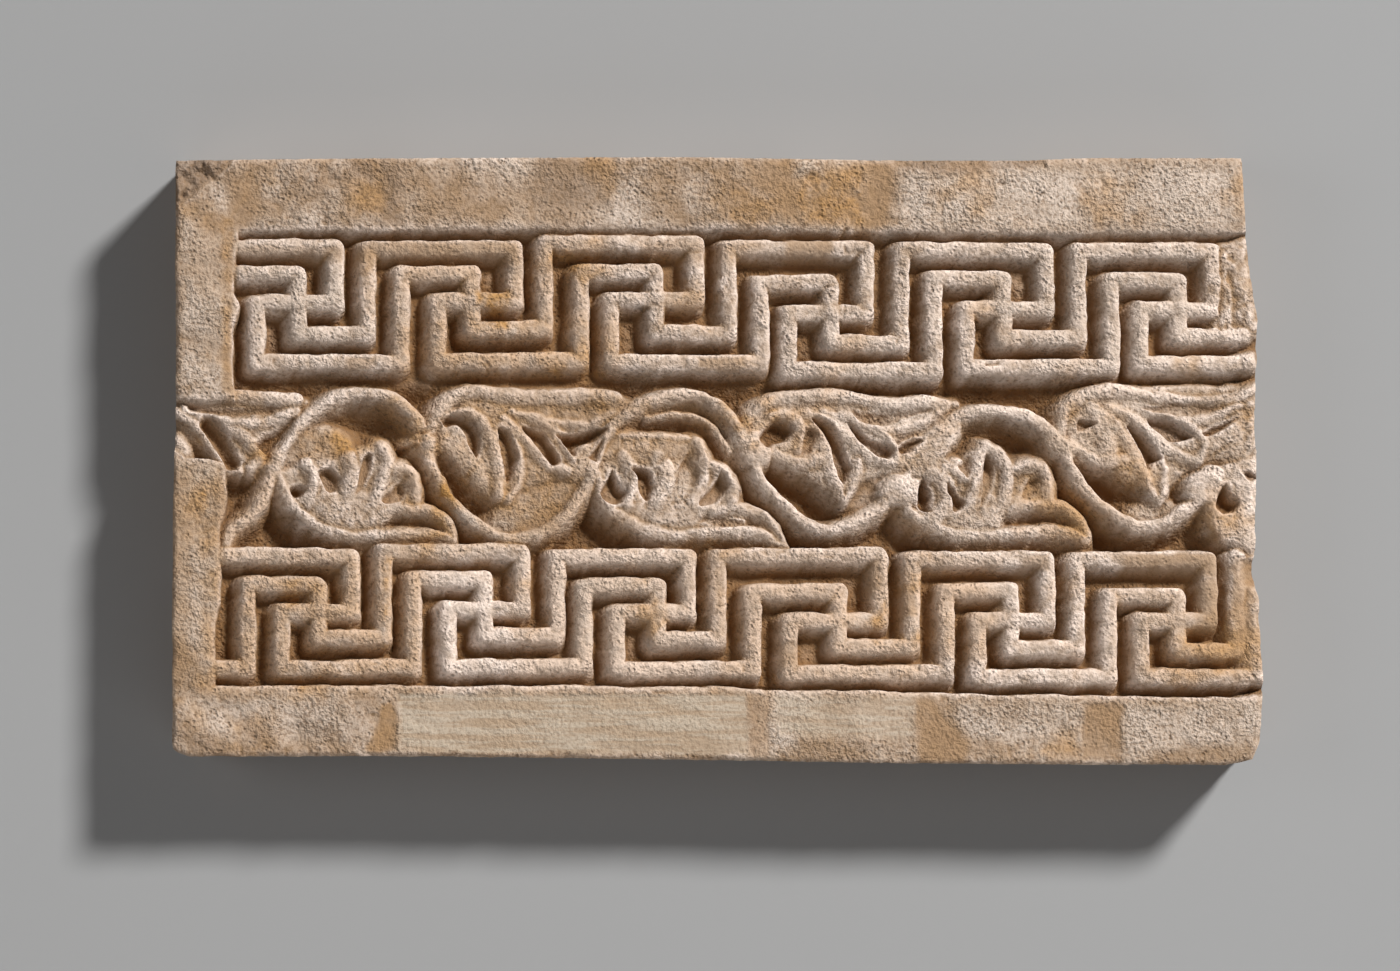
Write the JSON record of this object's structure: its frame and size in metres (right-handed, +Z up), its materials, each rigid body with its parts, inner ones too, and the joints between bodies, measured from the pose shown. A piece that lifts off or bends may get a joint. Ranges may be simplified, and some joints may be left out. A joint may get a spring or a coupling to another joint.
{
  "type": "stone relief panel",
  "caption": "Carved stone frieze slab: a plain border, bands of key meander above and below, and a wavy vine with half acanthus leaves running between them.",
  "frame": {"origin": "middle of the flat back face that lies against the wall", "axes": "+X along the panel to the right as seen from the carved side, +Y into the wall, +Z up; the carved face looks along -Y"},
  "size_m": [1.004, 0.09, 0.559],
  "materials": {
    "stone": "weathered, pitted, matte"
  },
  "bodies": {
    "root": {"relief_panel": "stone"}
  },
  "joints": []
}
